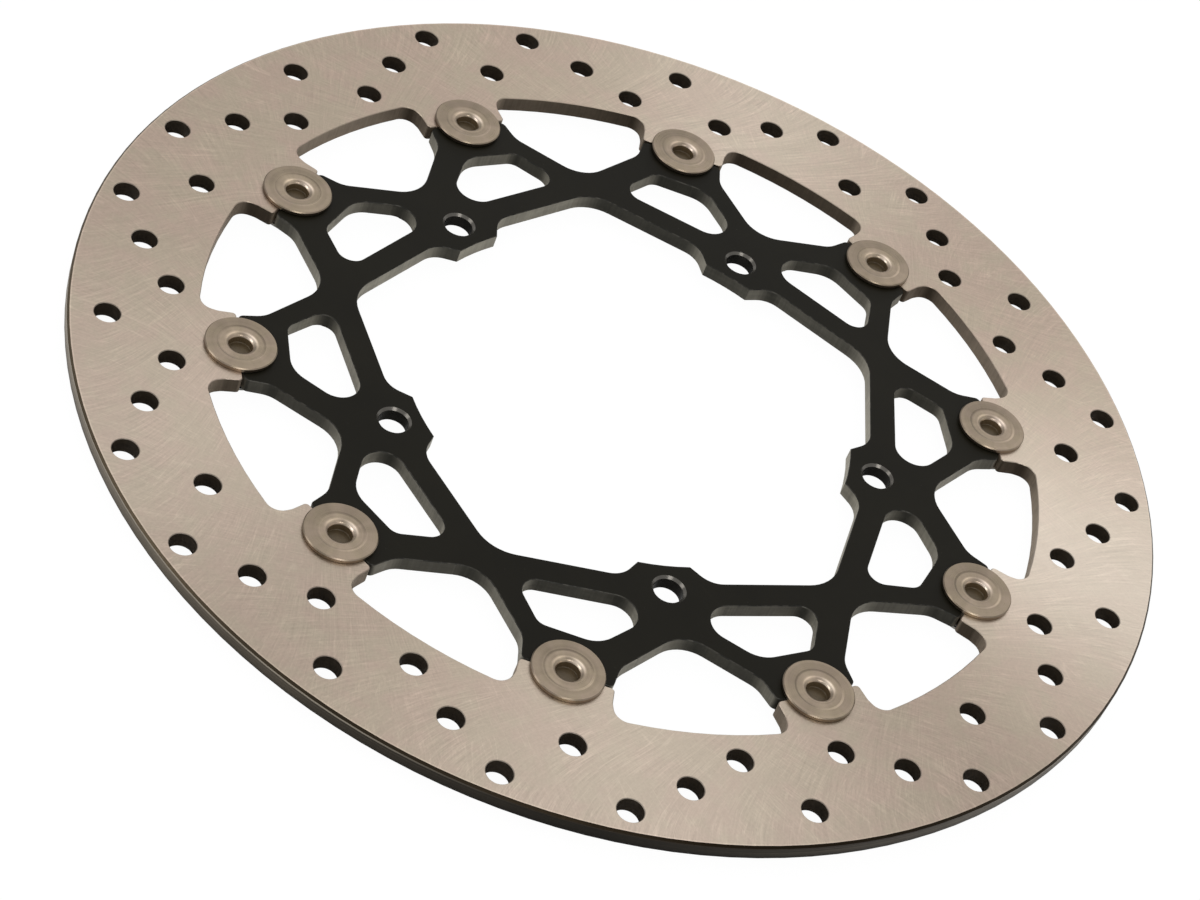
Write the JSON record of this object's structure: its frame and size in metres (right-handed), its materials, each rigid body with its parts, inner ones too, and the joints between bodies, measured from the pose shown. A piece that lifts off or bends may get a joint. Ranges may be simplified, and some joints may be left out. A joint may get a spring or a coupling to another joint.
{
  "type": "floating brake disc rotor",
  "caption": "Floating motorcycle brake disc: a drilled steel friction ring held on a black alloy carrier by hollow drive pins with washers and circlips.",
  "frame": {"origin": "on the rotor axis, in the rear face of the carrier, which is the face that sits on the wheel hub", "axes": "+Z along the rotor axis away from the hub, towards the outer side with the pin heads; +Y through one mounting bolt hole"},
  "size_m": [0.32, 0.32, 0.0101],
  "materials": {
    "carrier_anodised": "black anodised, satin",
    "rotor_steel": "cross-ground stainless steel",
    "pin_nickel": "turned, satin",
    "spring_steel": "blued spring steel",
    "washer_steel": "zinc plated",
    "circlip_steel": "phosphated spring steel"
  },
  "bodies": {
    "carrier": {"carrier": "carrier_anodised"},
    "friction_ring": {"friction_ring": "rotor_steel"},
    "pin_01": {"drive_pin_01": "pin_nickel", "wave_washer_01": "spring_steel", "flat_washer_01": "washer_steel", "circlip_01": "circlip_steel"},
    "pin_02": {"drive_pin_02": "pin_nickel", "wave_washer_02": "spring_steel", "flat_washer_02": "washer_steel", "circlip_02": "circlip_steel"},
    "pin_03": {"drive_pin_03": "pin_nickel", "wave_washer_03": "spring_steel", "flat_washer_03": "washer_steel", "circlip_03": "circlip_steel"},
    "pin_04": {"drive_pin_04": "pin_nickel", "wave_washer_04": "spring_steel", "flat_washer_04": "washer_steel", "circlip_04": "circlip_steel"},
    "pin_05": {"drive_pin_05": "pin_nickel", "wave_washer_05": "spring_steel", "flat_washer_05": "washer_steel", "circlip_05": "circlip_steel"},
    "pin_06": {"drive_pin_06": "pin_nickel", "wave_washer_06": "spring_steel", "flat_washer_06": "washer_steel", "circlip_06": "circlip_steel"},
    "pin_07": {"drive_pin_07": "pin_nickel", "wave_washer_07": "spring_steel", "flat_washer_07": "washer_steel", "circlip_07": "circlip_steel"},
    "pin_08": {"drive_pin_08": "pin_nickel", "wave_washer_08": "spring_steel", "flat_washer_08": "washer_steel", "circlip_08": "circlip_steel"},
    "pin_09": {"drive_pin_09": "pin_nickel", "wave_washer_09": "spring_steel", "flat_washer_09": "washer_steel", "circlip_09": "circlip_steel"},
    "pin_10": {"drive_pin_10": "pin_nickel", "wave_washer_10": "spring_steel", "flat_washer_10": "washer_steel", "circlip_10": "circlip_steel"}
  },
  "joints": [
    {"name": "ring_float", "type": "slide", "parent": "carrier", "child": "friction_ring", "axis": [0, 0, 1], "range_m": [-0.0002, 0.0002]},
    {"name": "pin_spin_01", "type": "hinge", "parent": "friction_ring", "child": "pin_01", "pos_m": [-0.03672, 0.10665, 0.0045], "axis": [0, 0, 1], "continuous": true},
    {"name": "pin_spin_02", "type": "hinge", "parent": "friction_ring", "child": "pin_02", "pos_m": [-0.0924, 0.0647, 0.0045], "axis": [0, 0, 1], "continuous": true},
    {"name": "pin_spin_03", "type": "hinge", "parent": "friction_ring", "child": "pin_03", "pos_m": [-0.11278, -0.00197, 0.0045], "axis": [0, 0, 1], "continuous": true},
    {"name": "pin_spin_04", "type": "hinge", "parent": "friction_ring", "child": "pin_04", "pos_m": [-0.09009, -0.06788, 0.0045], "axis": [0, 0, 1], "continuous": true},
    {"name": "pin_spin_05", "type": "hinge", "parent": "friction_ring", "child": "pin_05", "pos_m": [-0.03298, -0.10787, 0.0045], "axis": [0, 0, 1], "continuous": true},
    {"name": "pin_spin_06", "type": "hinge", "parent": "friction_ring", "child": "pin_06", "pos_m": [0.03672, -0.10665, 0.0045], "axis": [0, 0, 1], "continuous": true},
    {"name": "pin_spin_07", "type": "hinge", "parent": "friction_ring", "child": "pin_07", "pos_m": [0.0924, -0.0647, 0.0045], "axis": [0, 0, 1], "continuous": true},
    {"name": "pin_spin_08", "type": "hinge", "parent": "friction_ring", "child": "pin_08", "pos_m": [0.11278, 0.00197, 0.0045], "axis": [0, 0, 1], "continuous": true},
    {"name": "pin_spin_09", "type": "hinge", "parent": "friction_ring", "child": "pin_09", "pos_m": [0.09009, 0.06788, 0.0045], "axis": [0, 0, 1], "continuous": true},
    {"name": "pin_spin_10", "type": "hinge", "parent": "friction_ring", "child": "pin_10", "pos_m": [0.03298, 0.10787, 0.0045], "axis": [0, 0, 1], "continuous": true}
  ]
}
